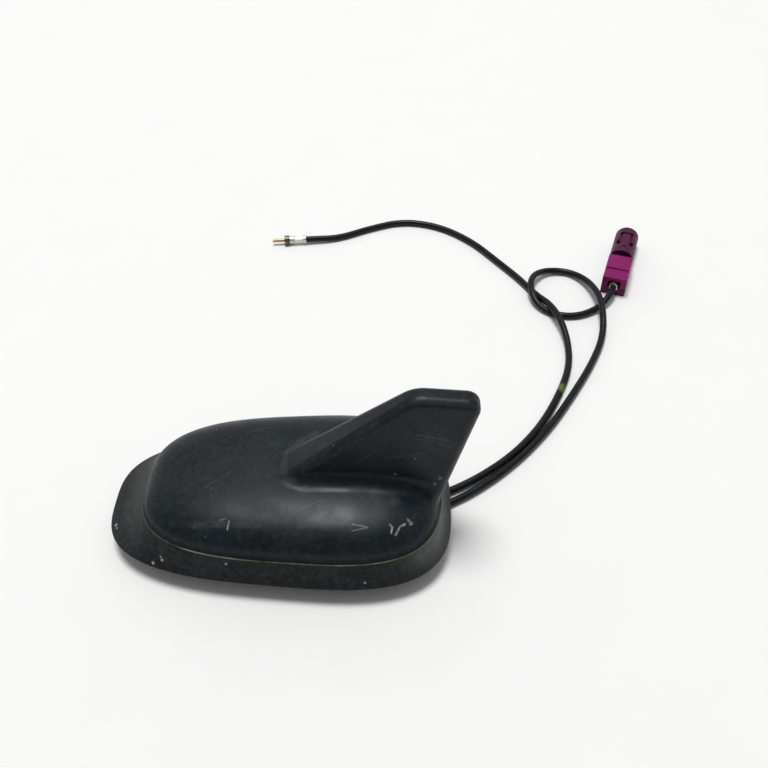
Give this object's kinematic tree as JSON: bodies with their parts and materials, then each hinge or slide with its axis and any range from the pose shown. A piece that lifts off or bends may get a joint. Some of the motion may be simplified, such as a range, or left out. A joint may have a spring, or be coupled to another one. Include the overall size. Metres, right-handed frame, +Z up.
{
  "type": "roof antenna",
  "caption": "Car roof antenna: low oval cover with a raised rear fin on a flared rubber skirt, cast base with hollow stud, and thin coaxial leads to a coded plug and a bare crimp.",
  "frame": {"origin": "on the table, below the middle of the antenna's box, leads apart; the stud's end stands on z = 0", "axes": "+X from the low nose to the fin's tail, +Z up through the fin"},
  "size_m": [0.2381, 0.2421, 0.0708],
  "materials": {
    "cover_plastic": "fine matt moulded plastic, worn pale on its edges",
    "skirt_rubber": "matt rubber, dusty",
    "base_metal": "as cast, tumbled",
    "seal_foam": "closed-cell foam rubber",
    "gland_rubber": "soft moulded rubber",
    "board_laminate": "solder mask on laminate",
    "patch_ceramic": "fired ceramic with a printed silver face",
    "tinned_steel": "tinned sheet",
    "contact_brass": "plated, dull",
    "screw_steel": "zinc plated",
    "clip_plastic": "natural moulded plastic",
    "lead_jacket": "semi-matt flexible jacket",
    "plug_plastic": "moulded, dusty on its nose",
    "lock_plastic": "moulded, brighter than the housing",
    "ferrule_metal": "crimped, pale tinned",
    "insulator_plastic": "white insulator",
    "collar_metal": "dark tarnished ring"
  },
  "bodies": {
    "root": {"radome_cover": "cover_plastic", "skirt_gasket": "skirt_rubber", "base_plate": "base_metal", "roof_seal": "seal_foam", "cable_gland": "gland_rubber", "main_board": "board_laminate", "gps_patch": "patch_ceramic", "patch_feed_pin": "contact_brass", "amplifier_shield": "tinned_steel", "fin_board": "board_laminate", "fin_board_clip": "clip_plastic", "board_screws": "screw_steel", "cover_screws": "screw_steel", "phone_lead": "lead_jacket", "gps_lead": "lead_jacket", "plug_housing": "plug_plastic", "plug_lock": "lock_plastic", "plug_contact_body": "contact_brass", "plug_insulator": "insulator_plastic", "plug_centre_contact": "contact_brass", "plug_ferrule": "ferrule_metal", "gps_ferrule": "ferrule_metal", "gps_collar": "collar_metal", "gps_centre_pin": "contact_brass"}
  },
  "joints": []
}
